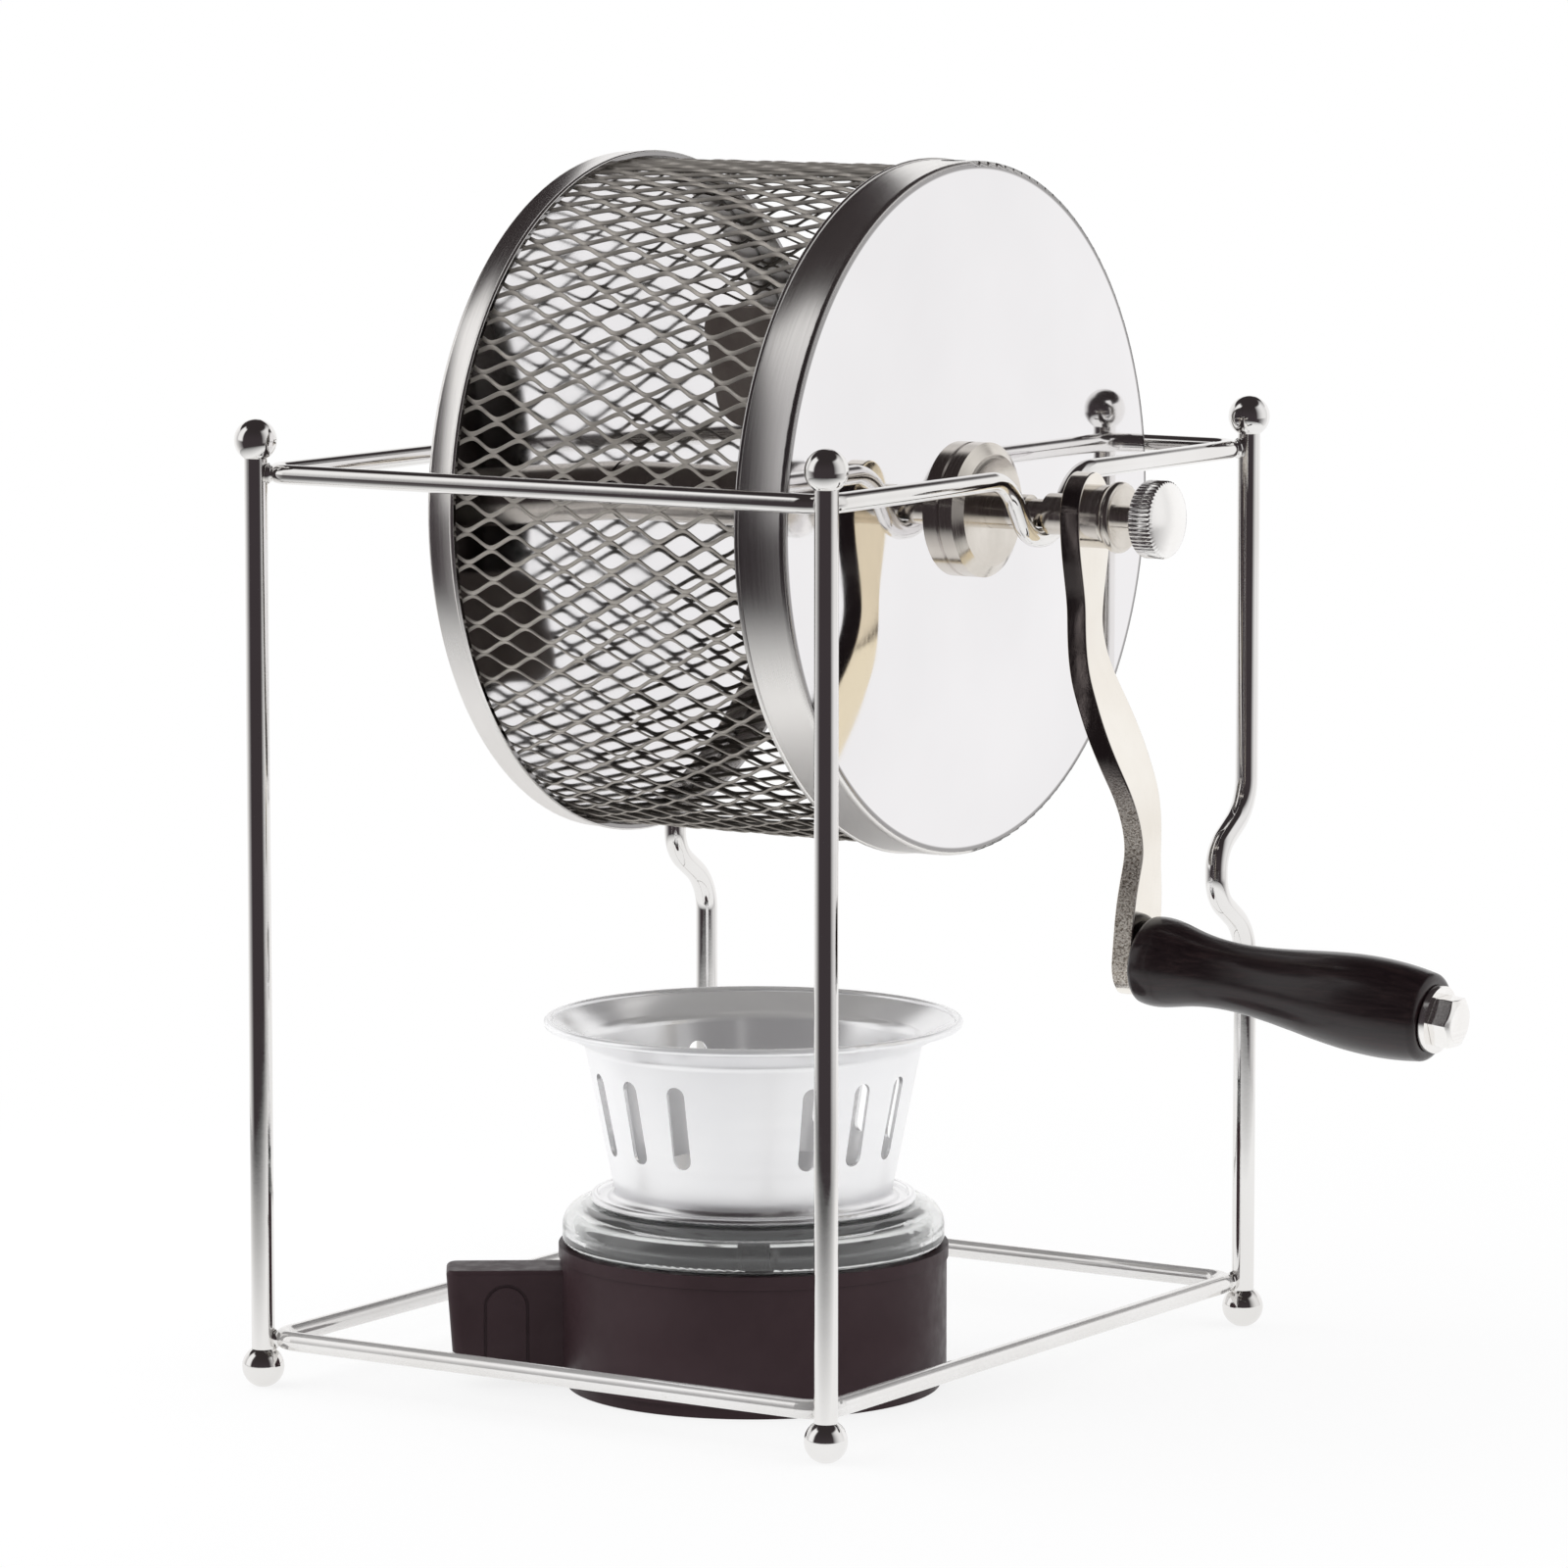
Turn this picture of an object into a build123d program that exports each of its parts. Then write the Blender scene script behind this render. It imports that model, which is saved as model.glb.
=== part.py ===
from build123d import *
import math
import os

# Hand-crank coffee roaster, in millimetres.
# The origin lies on the table under the middle of the four posts.
# X runs along the drum's axle with the crank at +X, -Y is the front, Z is up.

# Wire stand
post_span_x = 144.0
post_span_y = 173.4
post_d = 5.0
ball_span = 200.0  # foot ball centre to finial centre
ball_d = 9.2
socket_depth = 2.6  # how far a post's end goes into its ball
foot_flat_d = 3.4
ring_d = 4.2
ring_corner_r = 6.0
top_ring_drop = 7.1  # finial centre down to the top ring's centreline
bottom_ring_rise = 5.8  # foot ball centre up to the bottom ring's centreline

# Notch bent into the top ring's short sides and into the rear posts
notch_depth = 13.2
notch_mouth = 28.0
notch_seat = 10.4
notch_mouth_r = 7.0
notch_seat_r = 6.0
rear_notch_z = 103.6  # middle of the rear posts' notches above the table

# Drum
drum_r = 74.1
sheet = 0.8
drum_length = 90.2
lid_setback = 17.0  # ring wire's centreline back to the lid's face
lid_skirt = 12.2
cap_skirt = 7.2
edge_r = 1.2  # rounded edge between a face and its skirt
hem_r = 0.6
latch_hole_d = 5.4
latch_hole_inset = 5.0
mouth_band_width = 9.0

# Expanded mesh of the drum
mesh_wall = 0.9
mesh_rows = 48
mesh_columns = 9
mesh_pitch = 16.0
eye_long = 11.2
eye_high = 5.4

# Axle and hubs
axle_d = 7.6
journal_d = 6.0
axle_tail = 6.5
axle_tail_round = 1.2
collar_d = 8.8
collar_length = 6.2
spigot_d = 6.6
spigot_flats = 5.4
spacer_d = 13.0
hub_d = 28.8
hub_length = 5.2
hub_bevel = 1.6
hub_bevel_in = 2.4
hub_back_edge = 0.4

# Lifting blades on the lid's inner face
blade_mid_r = 57.3
blade_angle = 146.0
blade_lean_angle = 39.0  # from the radius
blade_depth = 27.2
blade_reach = 31.0
blade_foot = 8.0
blade_sheet = 1.0
blade_corner_r = 6.0

# Crank arm, hanging straight down from the axle
arm_length = 93.1
arm_thickness = 4.7
arm_bend_top = 29.5
arm_bend_bottom = 63.5
arm_offset = 15.05
arm_droop = 4.4  # lean of the arm's lower run
arm_bend_top_r = 38.0
arm_bend_bottom_r = 34.0
arm_top_eye_width = 13.6
arm_top_eye_rise = 9.3
arm_neck_at = 21.5
arm_neck_width = 7.4
arm_belly_at = 47.0
arm_belly_width = 14.1
arm_waist_at = 71.0
arm_waist_width = 8.0
arm_end_eye_width = 12.0
arm_end_eye_drop = 8.2
arm_end_straight = 5.6  # parallel sides above the end eye's middle
boss_d = 13.4
boss_length = 4.8
boss_edge_r = 0.8
washer_d = 15.2
washer_thickness = 2.4
washer_edge_r = 1.1

# Thumb screw
screw_d = 4.0
screw_depth = 13.0
thumb_neck_d = 5.4
thumb_neck_length = 5.2
thumb_head_d = 16.5
thumb_head_length = 5.4
thumb_dome = 1.5
thumb_flutes = 30
thumb_flute_r = 0.5

# Handle: turned grip on a drooping bolt
handle_droop = 5.8
grip_length = 68.9
grip_lip_d = 18.1
grip_mouth_at = 3.1
grip_mouth_d = 19.1
grip_throat_at = 11.6
grip_throat_d = 16.3
grip_belly_at = 50.0
grip_belly_d = 20.3
grip_end_d = 18.2
grip_edge_r = 1.8
bolt_d = 6.0
bolt_head_flats = 10.0
bolt_head_height = 4.7
bolt_head_edge = 0.9
handle_washer_d = 14.2
handle_washer_thickness = 1.4

# Spirit lamp, standing on the table inside the bottom ring
lamp_x = 14.4
lamp_y = -25.7
base_r = 41.7
base_height = 30.7
base_foot_inset = 1.3
base_foot_height = 2.7
base_lip = 0.35
base_lip_height = 2.8
base_wall = 2.4
base_floor = 3.0
slab_angle = 215.0
slab_reach = 24.6
slab_thickness = 14.0
slab_height = 25.8
slab_root_z = 4.4  # slab's underside where it meets the cup
slab_end_z = 8.0  # slab's underside at its outer end
slab_draft = 1.3  # lean of the slab's outer end
slab_corner_r = 2.5
slab_edge_r = 1.0
panel_width = 9.8
panel_drop = 2.9  # slab's top down to the arch of the panel's groove
panel_inset = 8.1  # slab's outer end to the panel's near side
panel_groove = 0.7
panel_groove_depth = 0.5
bowl_wall = 2.6
bowl_heel_r = 4.0
shoulder_inset = 0.5  # base's side in to the bowl's shoulder
shoulder_rise = 9.0  # base's rim up to the top of the shoulder
shoulder_round = 5.0
ledge_round = 1.2  # lower edge of the shoulder, over the base's rim
neck_r = 19.0
neck_height = 6.4
burner_sheet = 1.2
burner_skirt = 5.0
wick_d = 7.2
wick_tube_wall = 1.0
wick_tube_above = 9.0
wick_tube_below = 8.0
wick_above = 3.0
wick_off_floor = 3.0
wick_top_r = 1.8

# Windscreen on the lamp
screen_sheet = 0.8
screen_foot_inset = 2.0  # edge of the shoulder's flat top in to the screen's foot
screen_foot_width = 4.6
screen_taper = 6.8  # growth in radius from the foot to the flare
screen_flare_z = 34.4  # above the screen's own foot
screen_flare_width = 7.8
screen_height = 39.2
screen_bead_r = 0.9
screen_foot_bend_r = 1.6
screen_flare_bend_r = 2.4
slot_width = 4.2
slot_length = 18.2
slot_mid_z = 20.3
slot_groups = 4
slots_per_group = 3
slot_spacing = 20.5  # degrees within a group
slot_first_group = -15.5

# Reach of a cutter past what it cuts
through = 10.0

# Clearances
weld_gap = 0.05  # between two wires or sheets that are welded together
press_gap = 0.02  # around pieces pressed or screwed onto each other
journal_gap = 0.1  # between the axle's journal and the wire it turns on
groove_side_gap = 0.35  # each side of the wire in a journal groove
slide_gap = 0.05  # around the axle in the drum's bore
lid_gap = 0.15  # between the lid's skirt and the mesh
facing_gap = 0.3  # between faces that move past each other
grip_gap = 0.1  # around the bolt in the grip
bowl_gap = 0.4  # around the glass in the lamp base

# Heights and places that follow from the sizes above
ball_r = ball_d / 2
foot_z = math.sqrt(ball_r**2 - (foot_flat_d / 2) ** 2)
finial_z = foot_z + ball_span
top_ring_z = finial_z - top_ring_drop
bottom_ring_z = foot_z + bottom_ring_rise
post_x = post_span_x / 2
post_y = post_span_y / 2
corner_reach = post_d / 2 + ring_d / 2 + weld_gap
ring_inset = (corner_reach - ring_corner_r * (math.sqrt(2) - 1)) / math.sqrt(2)
ring_x = post_x - ring_inset
ring_y = post_y - ring_inset
axle_z = top_ring_z - notch_depth + ring_d / 2 + journal_gap + journal_d / 2
axle_r = axle_d / 2
groove_half = ring_d / 2 + groove_side_gap
lid_face_x = ring_x - lid_setback
lid_inner_x = lid_face_x - sheet
back_face_x = lid_face_x - drum_length
back_inner_x = back_face_x + sheet
skirt_inner_r = drum_r - sheet
mesh_r = skirt_inner_r - lid_gap
arm_back_x = ring_x + groove_half + collar_length
arm_mid_x = arm_back_x + arm_thickness / 2
arm_front_x = arm_back_x + arm_thickness
boss_front_x = arm_front_x + boss_length
washer_front_x = boss_front_x + washer_thickness
spigot_end_x = boss_front_x - facing_gap
tapped_x = spigot_end_x - screw_depth
grip_lean = math.tan(math.radians(handle_droop - arm_droop))  # grip's face against the arm's
grip_start = arm_thickness / 2 + facing_gap + grip_lip_d / 2 * abs(grip_lean)
grip_end = grip_start + grip_length
bolt_seat = grip_end + facing_gap + handle_washer_thickness
shoulder_r = base_r - shoulder_inset
screen_foot_r = shoulder_r - shoulder_round - screen_foot_inset
screen_low_r = screen_foot_r - screen_foot_width
screen_high_r = screen_low_r + screen_taper
screen_flange_r = screen_high_r + screen_flare_width
droop_run = math.tan(math.radians(arm_droop))
eye_x = arm_mid_x + arm_offset - (arm_length - arm_bend_bottom) * droop_run

axle_line = Pos(0, 0, axle_z)
handle_line = Pos(eye_x, 0, axle_z - arm_length) * Rot(Y=handle_droop)
lamp_spot = Pos(lamp_x, lamp_y, 0)


def bent_wire(points, radii, diameter):
    """Round wire along straight runs joined by tangent bends."""
    path = FilletPolyline(*points, radius=radii)
    section = Plane(origin=path @ 0, z_dir=path % 0) * Circle(diameter / 2)
    return sweep(section, path=path)


def rounded_face(outline, rounds):
    """Flat face of the outline, with (corner, radius) pairs rounded."""
    face = Polygon(*outline, align=None)
    for corner, radius in rounds:
        face = fillet(face.vertices().sort_by_distance(corner)[0], radius)
    return face


def turned(outline, rounds=()):
    """Solid turned about the X axis from (x, radius) points."""
    return revolve(rounded_face(outline, rounds), Axis.X)


def spun(outline, rounds=()):
    """Solid turned about the Z axis from (radius, z) points."""
    return revolve(Plane.XZ * rounded_face(outline, rounds), Axis.Z)


def tube_between(x_start, x_end, outer_r, inner_r):
    """Plain tube along the X axis."""
    return turned([(x_start, inner_r), (x_start, outer_r), (x_end, outer_r), (x_end, inner_r)])


def ring_bead(x, radius):
    """Rolled hem around the X axis, standing on the inside of the sheet."""
    return revolve(Pos(x, radius + hem_r) * Circle(hem_r), Axis.X)


def notch_profile():
    """(along, depth) points of the notch and the radius of each bend."""
    points = [
        (-notch_mouth / 2, 0),
        (-notch_seat / 2, notch_depth),
        (notch_seat / 2, notch_depth),
        (notch_mouth / 2, 0),
    ]
    radii = [notch_mouth_r, notch_seat_r, notch_seat_r, notch_mouth_r]
    return points, radii


def post_corners():
    return [(-post_x, -post_y), (post_x, -post_y), (-post_x, post_y), (post_x, post_y)]


def straight_post(x, y):
    low = foot_z + ball_r - socket_depth
    high = finial_z - ball_r + socket_depth
    return Pos(x, y, (low + high) / 2) * Cylinder(post_d / 2, high - low)


def notched_post(x, y):
    """Rear post: its notch is bent towards the front, so the axle can lie in it from behind."""
    low = foot_z + ball_r - socket_depth
    high = finial_z - ball_r + socket_depth
    points, radii = notch_profile()
    bends = [(x, y - depth, rear_notch_z + along) for along, depth in points]
    return bent_wire([(x, y, low), *bends, (x, y, high)], radii, post_d)


def both_halves(half):
    return half + mirror(half, about=Plane.YZ)


def make_top_ring():
    points, radii = notch_profile()
    seat = [(ring_x, along, top_ring_z - depth) for along, depth in points]
    start = (0, -ring_y, top_ring_z)
    near = (ring_x, -ring_y, top_ring_z)
    far = (ring_x, ring_y, top_ring_z)
    end = (0, ring_y, top_ring_z)
    bends = [ring_corner_r, *radii, ring_corner_r]
    return both_halves(bent_wire([start, near, *seat, far, end], bends, ring_d))


def make_bottom_ring():
    start = (0, -ring_y, bottom_ring_z)
    near = (ring_x, -ring_y, bottom_ring_z)
    far = (ring_x, ring_y, bottom_ring_z)
    end = (0, ring_y, bottom_ring_z)
    return both_halves(bent_wire([start, near, far, end], ring_corner_r, ring_d))


def make_finial():
    socket = Cylinder(post_d / 2 + press_gap, socket_depth, align=(Align.CENTER, Align.CENTER, Align.MIN))
    return Sphere(ball_r) - Pos(0, 0, -ball_r) * socket


def make_foot():
    ground = Pos(0, 0, -foot_z) * Box(ball_d, ball_d, ball_d, align=(Align.CENTER, Align.CENTER, Align.MAX))
    return Rot(X=180) * make_finial() - ground


def four_balls(ball, z):
    return Compound(children=[Pos(x, y, z) * ball for x, y in post_corners()])


def make_drum_mesh():
    """Many-sided tube pierced by staggered rows of diamond eyes."""
    step = 360 / mesh_rows
    start = back_inner_x
    end = lid_inner_x - facing_gap
    outer = RegularPolygon(mesh_r, mesh_rows)
    inner = RegularPolygon(mesh_r - mesh_wall, mesh_rows)
    tube = Pos(start, 0, 0) * extrude(Plane.YZ * (outer - inner), end - start)
    eye = Polygon((-eye_long / 2, 0), (0, -eye_high / 2), (eye_long / 2, 0), (0, eye_high / 2), align=None)
    punch = extrude(Plane.XY.offset(mesh_r - through / 2) * eye, through)
    middle = (back_face_x + cap_skirt + lid_face_x - lid_skirt) / 2
    punches = []
    for column in range(mesh_columns):
        x = middle + (column - (mesh_columns - 1) / 2) * mesh_pitch / 2
        for row in range(mesh_rows):
            angle = (row + (column % 2) / 2) * step
            punches.append(Rot(X=angle) * Pos(x, 0, 0) * punch)
    return axle_line * (tube - punches)


def make_mouth_band():
    """Plain band welded inside the mesh at the drum's open end."""
    flat_r = (mesh_r - mesh_wall) * math.cos(math.pi / mesh_rows)
    end = lid_inner_x - facing_gap
    outer_r = flat_r - weld_gap
    return axle_line * tube_between(end - mouth_band_width, end, outer_r, outer_r - sheet)


def make_cap(skirt, bore_r):
    """Flat cap facing +X with its outer face at x = 0 and a hemmed skirt behind it."""
    outline = [
        (0, bore_r),
        (0, drum_r),
        (-skirt, drum_r),
        (-skirt, skirt_inner_r),
        (-sheet, skirt_inner_r),
        (-sheet, bore_r),
    ]
    return turned(outline, [((0, drum_r), edge_r)]) + ring_bead(-skirt + hem_r, skirt_inner_r)


def make_lid():
    cap = make_cap(lid_skirt, axle_r + press_gap)
    latch_hole = Pos(-latch_hole_inset, 0, drum_r) * Cylinder(latch_hole_d / 2, through)
    return axle_line * Pos(lid_face_x, 0, 0) * (cap - latch_hole)


def make_back_cap():
    cap = mirror(make_cap(cap_skirt, axle_r + slide_gap), about=Plane.YZ)
    return axle_line * Pos(back_face_x, 0, 0) * cap


def make_hub(bore_r):
    """Turned disc with its seat at x = 0 and its bevelled face at +X."""
    hub_r = hub_d / 2
    outline = [
        (0, bore_r),
        (0, hub_r - hub_back_edge),
        (hub_back_edge, hub_r),
        (hub_length - hub_bevel, hub_r),
        (hub_length, hub_r - hub_bevel_in),
        (hub_length, bore_r),
    ]
    return turned(outline)


def make_lid_hub():
    return axle_line * Pos(lid_face_x, 0, 0) * make_hub(axle_r + press_gap)


def make_back_hub():
    return axle_line * Pos(back_face_x, 0, 0) * mirror(make_hub(axle_r + slide_gap), about=Plane.YZ)


def make_axle():
    """Rod with a groove at each notch, a flatted seat for the crank and a tapped end."""
    journal_r = journal_d / 2
    tail_x = -ring_x - groove_half - axle_tail
    outline = [
        (tail_x, 0),
        (tail_x, axle_r),
        (-ring_x - groove_half, axle_r),
        (-ring_x - groove_half, journal_r),
        (-ring_x + groove_half, journal_r),
        (-ring_x + groove_half, axle_r),
        (ring_x - groove_half, axle_r),
        (ring_x - groove_half, journal_r),
        (ring_x + groove_half, journal_r),
        (ring_x + groove_half, collar_d / 2),
        (arm_back_x, collar_d / 2),
        (arm_back_x, spigot_d / 2),
        (spigot_end_x, spigot_d / 2),
        (spigot_end_x, 0),
    ]
    rod = turned(outline, [((tail_x, axle_r), axle_tail_round)])
    seat = (arm_back_x + arm_front_x) / 2
    flat = Box(arm_thickness, spigot_d, spigot_d)
    for side in (-1, 1):
        rod -= Pos(seat, side * (spigot_flats + spigot_d) / 2, 0) * flat
    bore_r = screw_d / 2 + press_gap
    tapped = turned([(tapped_x, 0), (tapped_x, bore_r), (spigot_end_x, bore_r), (spigot_end_x, 0)])
    return axle_line * (rod - tapped)


def make_spacer_tube():
    return axle_line * tube_between(
        back_inner_x + facing_gap, lid_inner_x, spacer_d / 2, axle_r + press_gap
    )


def make_blade(turn):
    """Sheet scoop with a foot on the lid's inner face, turned about the axle."""
    plate = Pos(-blade_reach / 2, 0, 0) * Rectangle(blade_reach, blade_depth)
    plate = fillet(plate.vertices().group_by(Axis.X)[0], blade_corner_r)
    scoop = extrude(plate, -blade_sheet)
    foot = Box(blade_sheet, blade_depth, blade_foot, align=(Align.MAX, Align.CENTER, Align.MAX))
    place = Pos(lid_inner_x, 0, 0) * Rot(X=blade_angle + turn) * Pos(0, blade_mid_r, 0)
    return axle_line * place * Rot(X=-blade_lean_angle) * (scoop + foot)


def arm_outline():
    """Front view of the arm: two oval eyes joined by a bar that swells in the middle."""
    flare_z = -arm_length + arm_end_straight
    down = (0, -1)
    right = Spline(
        (arm_top_eye_width / 2, 0),
        (arm_neck_width / 2, -arm_neck_at),
        (arm_belly_width / 2, -arm_belly_at),
        (arm_waist_width / 2, -arm_waist_at),
        (arm_end_eye_width / 2, flare_z),
        tangents=(down, down),
    )
    left = mirror(right, about=Plane.YZ)
    top = Line(right @ 0, left @ 0)
    low = Line(right @ 1, left @ 1)
    bar = make_face([right, low, left, top])
    bar += Pos(0, flare_z) * Rectangle(arm_end_eye_width, arm_end_straight, align=(Align.CENTER, Align.MAX))
    top_eye = Ellipse(arm_top_eye_width / 2, arm_top_eye_rise)
    end_eye = Pos(0, -arm_length) * Ellipse(arm_end_eye_width / 2, arm_end_eye_drop)
    return bar + top_eye + end_eye


def make_crank_arm():
    """Flat bar bent outwards in a gentle S, cut to the arm's outline."""
    end_drop = arm_length + arm_end_eye_drop + through
    path = FilletPolyline(
        (arm_mid_x, 0, arm_top_eye_rise + through),
        (arm_mid_x, 0, -arm_bend_top),
        (arm_mid_x + arm_offset, 0, -arm_bend_bottom),
        (arm_mid_x + arm_offset - (end_drop - arm_bend_bottom) * droop_run, 0, -end_drop),
        radius=[arm_bend_top_r, arm_bend_bottom_r],
    )
    blank_width = arm_top_eye_width + arm_belly_width + arm_end_eye_width
    section = Plane(origin=path @ 0, x_dir=(0, 1, 0), z_dir=path % 0) * Rectangle(blank_width, arm_thickness)
    bar = sweep(section, path=path)
    outline = extrude(Plane.YZ * arm_outline(), arm_front_x + arm_offset + through)
    seat = Circle(spigot_d / 2 + press_gap) & Rectangle(spigot_flats + 2 * press_gap, spigot_d + through)
    seat_hole = extrude(Plane.YZ * seat, arm_front_x + through)
    bolt_hole = Rot(Y=90) * Cylinder(bolt_d / 2 + press_gap, arm_thickness + through)
    arm = axle_line * ((bar & outline) - seat_hole)
    return arm - handle_line * bolt_hole


def make_crank_boss():
    boss_r = boss_d / 2
    bore_r = spigot_d / 2 + press_gap
    outline = [(arm_front_x, bore_r), (arm_front_x, boss_r), (boss_front_x, boss_r), (boss_front_x, bore_r)]
    return axle_line * turned(outline, [((boss_front_x, boss_r), boss_edge_r)])


def make_lock_washer():
    rim_r = washer_d / 2
    bore_r = screw_d / 2 + grip_gap
    outline = [
        (boss_front_x, bore_r),
        (boss_front_x, rim_r),
        (washer_front_x, rim_r),
        (washer_front_x, bore_r),
    ]
    rounds = [((boss_front_x, rim_r), washer_edge_r), ((washer_front_x, rim_r), washer_edge_r)]
    return axle_line * turned(outline, rounds)


def make_thumb_screw():
    """Screw with a plain neck and a fluted, slightly domed head."""
    tip_x = tapped_x + facing_gap
    head_x = washer_front_x + thumb_neck_length
    top_x = head_x + thumb_head_length
    stem = turned([
        (tip_x, 0),
        (tip_x, screw_d / 2),
        (washer_front_x, screw_d / 2),
        (washer_front_x, thumb_neck_d / 2),
        (head_x, thumb_neck_d / 2),
        (head_x, 0),
    ])
    rim = Circle(thumb_head_d / 2)
    rim -= PolarLocations(thumb_head_d / 2, thumb_flutes) * Circle(thumb_flute_r)
    head = Pos(head_x, 0, 0) * extrude(Plane.YZ * rim, thumb_head_length)
    dome_r = thumb_head_d / 2 - 2 * thumb_flute_r
    crown_r = (dome_r**2 + thumb_dome**2) / (2 * thumb_dome)
    crown = RadiusArc((top_x + thumb_dome, 0), (top_x, dome_r), crown_r)
    back = Polyline((top_x, dome_r), (top_x, 0), (top_x + thumb_dome, 0))
    dome = revolve(make_face([crown, back]), Axis.X)
    return axle_line * (stem + head + dome)


def make_wooden_grip():
    """Turned grip in the handle's own line, where x = 0 is the middle of the arm's eye."""
    bore_r = bolt_d / 2 + grip_gap
    side = Spline(
        (grip_start, grip_lip_d / 2),
        (grip_start + grip_mouth_at, grip_mouth_d / 2),
        (grip_start + grip_throat_at, grip_throat_d / 2),
        (grip_start + grip_belly_at, grip_belly_d / 2),
        (grip_end, grip_end_d / 2),
    )
    rest = Polyline(side @ 1, (grip_end, bore_r), (grip_start, bore_r), side @ 0)
    profile = make_face([side, rest])
    for corner in (side @ 0, side @ 1):
        profile = fillet(profile.vertices().sort_by_distance(corner)[0], grip_edge_r)
    return handle_line * revolve(profile, Axis.X)


def make_handle_washer():
    start = grip_end + facing_gap
    return handle_line * tube_between(start, bolt_seat, handle_washer_d / 2, bolt_d / 2 + press_gap)


def make_handle_bolt():
    start = -arm_thickness / 2
    top_x = bolt_seat + bolt_head_height
    shank = turned([(start, 0), (start, bolt_d / 2), (bolt_seat, bolt_d / 2), (bolt_seat, 0)])
    hexagon = RegularPolygon(bolt_head_flats / 2, 6, major_radius=False)
    head = Pos(bolt_seat, 0, 0) * extrude(Plane.YZ * hexagon, bolt_head_height)
    corner_r = bolt_head_flats / math.sqrt(3)
    turned_head = turned([
        (bolt_seat, 0),
        (bolt_seat, corner_r),
        (top_x - bolt_head_edge, corner_r),
        (top_x, corner_r - 2 * bolt_head_edge),
        (top_x, 0),
    ])
    return handle_line * (shank + (head & turned_head))


def arch(x, top_z, width):
    """Upright face with a round top, reaching down past the slab's underside."""
    spring_z = top_z - width / 2
    return Pos(x, spring_z) * Circle(width / 2) + Pos(x, spring_z) * Rectangle(
        width, spring_z + through, align=(Align.CENTER, Align.MAX)
    )


def make_slab():
    """Handle on the lamp's cup along +X, with an arched groove on each side."""
    end_x = base_r + slab_reach
    profile = Polygon(
        (0, slab_root_z),
        (base_r, slab_root_z),
        (end_x - slab_draft, slab_end_z),
        (end_x, slab_height),
        (0, slab_height),
        align=None,
    )
    slab = extrude(Plane.XZ * profile, slab_thickness / 2, both=True)
    end_sides = slab.faces().sort_by(Axis.X)[-1].edges().filter_by(Axis.Y, reverse=True)
    slab = fillet(end_sides, slab_corner_r)
    slab = fillet(slab.faces().sort_by(Axis.Z)[-1].edges(), slab_edge_r)
    panel_x = end_x - panel_inset - panel_width / 2
    panel_z = slab_height - panel_drop
    groove = arch(panel_x, panel_z, panel_width)
    groove -= arch(panel_x, panel_z - panel_groove, panel_width - 2 * panel_groove)
    cut = extrude(Plane.XZ * groove, panel_groove_depth, both=True)
    for side in (-1, 1):
        slab -= Pos(0, side * slab_thickness / 2, 0) * cut
    return slab


def make_lamp_base():
    """Moulded cup with a thicker lip, a stepped foot and the slab handle."""
    foot_r = base_r - base_foot_inset
    lip_r = base_r + base_lip
    lip_z = base_height - base_lip_height
    well_r = base_r - base_wall
    open_z = base_height + through
    well = spun([(0, base_floor), (well_r, base_floor), (well_r, open_z), (0, open_z)])
    cup = spun([
        (0, 0),
        (foot_r, 0),
        (foot_r, base_foot_height),
        (base_r, base_foot_height),
        (base_r, lip_z),
        (lip_r, lip_z),
        (lip_r, base_height),
        (0, base_height),
    ])
    return lamp_spot * (cup + Rot(Z=slab_angle) * make_slab() - well)


def make_glass_bowl():
    """Hollow bowl with a shoulder that overhangs the base's rim and a narrow neck."""
    body_r = base_r - base_wall - bowl_gap
    ledge_z = base_height + bowl_gap
    top_z = base_height + shoulder_rise
    neck_z = top_z + neck_height
    outer = spun(
        [
            (0, base_floor),
            (body_r, base_floor),
            (body_r, ledge_z),
            (shoulder_r, ledge_z),
            (shoulder_r, top_z),
            (neck_r, top_z),
            (neck_r, neck_z),
            (0, neck_z),
        ],
        [
            ((body_r, base_floor), bowl_heel_r),
            ((shoulder_r, ledge_z), ledge_round),
            ((shoulder_r, top_z), shoulder_round),
        ],
    )
    inner_r = body_r - bowl_wall
    belly_r = shoulder_r - bowl_wall
    floor_z = base_floor + bowl_wall
    step_z = ledge_z + bowl_wall
    roof_z = top_z - bowl_wall
    mouth_r = neck_r - bowl_wall
    inner = spun(
        [
            (0, floor_z),
            (inner_r, floor_z),
            (inner_r, step_z),
            (belly_r, step_z),
            (belly_r, roof_z),
            (mouth_r, roof_z),
            (mouth_r, neck_z),
            (0, neck_z),
        ],
        [((inner_r, floor_z), bowl_heel_r), ((belly_r, roof_z), shoulder_round - bowl_wall)],
    )
    return lamp_spot * (outer - inner)


def make_burner_cap():
    """Sheet cap over the bowl's neck with a tube for the wick through its middle."""
    neck_z = base_height + shoulder_rise + neck_height
    bore_r = wick_d / 2 + press_gap
    tube_r = bore_r + wick_tube_wall
    skirt_r = neck_r + facing_gap
    tube = spun([
        (bore_r, neck_z - wick_tube_below),
        (tube_r, neck_z - wick_tube_below),
        (tube_r, neck_z + wick_tube_above),
        (bore_r, neck_z + wick_tube_above),
    ])
    cap = spun(
        [
            (bore_r, neck_z + facing_gap),
            (skirt_r, neck_z + facing_gap),
            (skirt_r, neck_z - burner_skirt),
            (skirt_r + burner_sheet, neck_z - burner_skirt),
            (skirt_r + burner_sheet, neck_z + facing_gap + burner_sheet),
            (bore_r, neck_z + facing_gap + burner_sheet),
        ],
        [((skirt_r + burner_sheet, neck_z + facing_gap + burner_sheet), burner_sheet)],
    )
    return lamp_spot * (tube + cap)


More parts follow.
